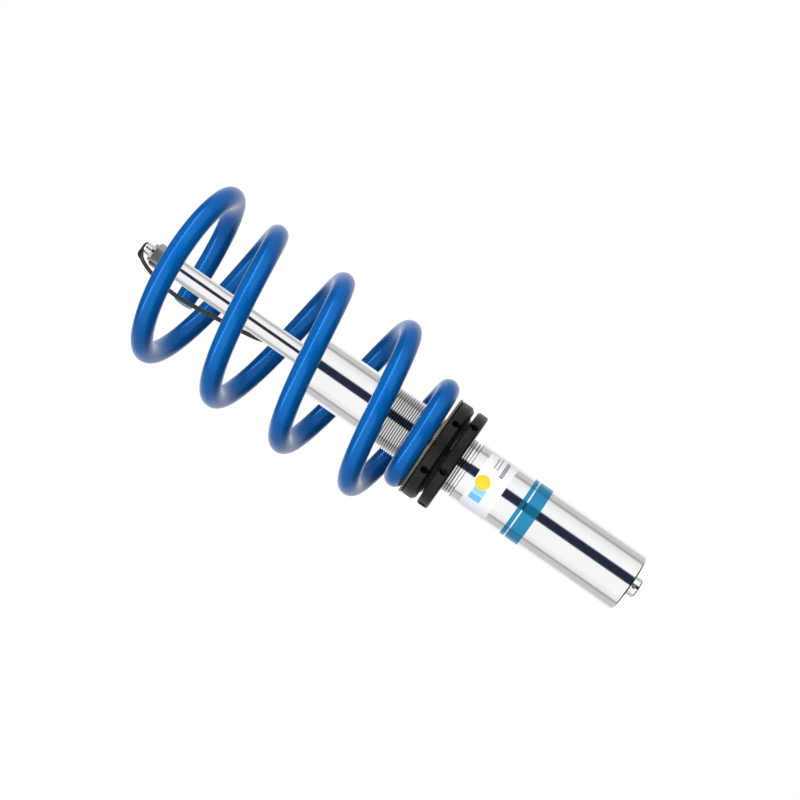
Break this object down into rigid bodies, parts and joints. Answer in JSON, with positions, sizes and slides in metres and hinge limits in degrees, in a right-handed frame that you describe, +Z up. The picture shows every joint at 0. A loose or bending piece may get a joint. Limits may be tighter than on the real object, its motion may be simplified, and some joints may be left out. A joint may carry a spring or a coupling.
{
  "type": "coil-over strut",
  "caption": "Coil-over suspension strut: gas-charged damper with threaded height-adjustable spring seat, lock ring and helical spring around a chromed rod.",
  "frame": {"origin": "centre of the bottom boss's end face, on the damper's axis", "axes": "+Z up the damper's axis towards the rod's stud, -Y towards the side with the label, +X completes a right-handed frame"},
  "size_m": [0.1531, 0.1556, 0.466],
  "materials": {
    "spring_blue": "glossy bright blue powder coat on spring steel",
    "polished_tube": "bright polished zinc plate",
    "chrome_rod": "hard chrome, ground and polished",
    "black_anodised": "black anodised, satin",
    "zinc_hardware": "bright zinc plate",
    "bright_steel": "plain hardened spring steel",
    "sintered_iron": "sintered iron, steam treated",
    "aluminium_plain": "turned aluminium",
    "bronze": "lined bronze bush",
    "black_rubber": "nitrile rubber",
    "stop_elastomer": "hard polyurethane",
    "band_plastic": "bronze filled plastic, matt",
    "slip_plastic": "dark low friction plastic",
    "strap_black": "black nylon, satin",
    "label_white": "white printed film",
    "stripe_teal": "teal blue printed film, gloss"
  },
  "bodies": {
    "damper_body": {"end_plug": "polished_tube", "end_plug_o_ring": "black_rubber", "gas_fill_plug": "bright_steel", "body_sleeve": "polished_tube", "damper_tube": "polished_tube", "lower_circlip": "bright_steel", "upper_circlip": "bright_steel", "rod_guide": "aluminium_plain", "guide_o_ring": "black_rubber", "guide_bush": "bronze", "rod_seal": "black_rubber", "seal_washer": "bright_steel", "wiper_seal": "black_rubber", "rating_label": "label_white", "wide_stripe": "stripe_teal", "narrow_stripe": "stripe_teal"},
    "piston_seal": {"piston_band": "band_plastic"},
    "rod": {"piston_rod": "chrome_rod", "working_piston": "sintered_iron", "compression_shims": "bright_steel", "rebound_shims": "bright_steel", "upper_backing_washer": "bright_steel", "lower_backing_washer": "bright_steel", "piston_nut": "zinc_hardware", "rebound_stop": "stop_elastomer", "top_washer": "zinc_hardware", "top_nut": "zinc_hardware", "retaining_strap": "strap_black"},
    "gas_divider": {"floating_piston": "aluminium_plain", "floating_piston_o_ring": "black_rubber"},
    "spring_carrier": {"coil_spring": "spring_blue", "spring_slip_ring": "slip_plastic"},
    "perch": {"spring_perch": "black_anodised"},
    "lock": {"lock_ring": "black_anodised"}
  },
  "joints": [
    {"name": "rod_slide", "type": "slide", "parent": "damper_body", "child": "piston_seal", "axis": [0, 0, 1], "range_m": [-0.12, 0], "stiffness_N_per_m": 400, "springref_m": 0.5, "deforming": ["coil_spring", "retaining_strap"]},
    {"name": "rod_turn", "type": "hinge", "parent": "piston_seal", "child": "rod", "pos_m": [0, 0, 0.25], "axis": [0, 0, 1], "continuous": true},
    {"name": "floating_piston_slide", "type": "slide", "parent": "damper_body", "child": "gas_divider", "axis": [0, 0, 1], "range_m": [-0.0208, 0]},
    {"name": "ride_height", "type": "slide", "parent": "damper_body", "child": "spring_carrier", "axis": [0, 0, 1], "range_m": [-0.006, 0.02]},
    {"name": "perch_turn", "type": "hinge", "parent": "spring_carrier", "child": "perch", "pos_m": [0, 0, 0.185], "axis": [0, 0, 1], "range_deg": [-1090, 3610]},
    {"name": "lock_ring_turn", "type": "hinge", "parent": "spring_carrier", "child": "lock", "pos_m": [0, 0, 0.172], "axis": [0, 0, 1], "range_deg": [-1090, 3610]}
  ],
  "couplings": [
    {"joint": "floating_piston_slide", "follows": "rod_slide", "ratio": 0.17192},
    {"joint": "perch_turn", "follows": "ride_height", "rad_per_m": 3141.6},
    {"joint": "lock_ring_turn", "follows": "ride_height", "rad_per_m": 3141.6}
  ]
}
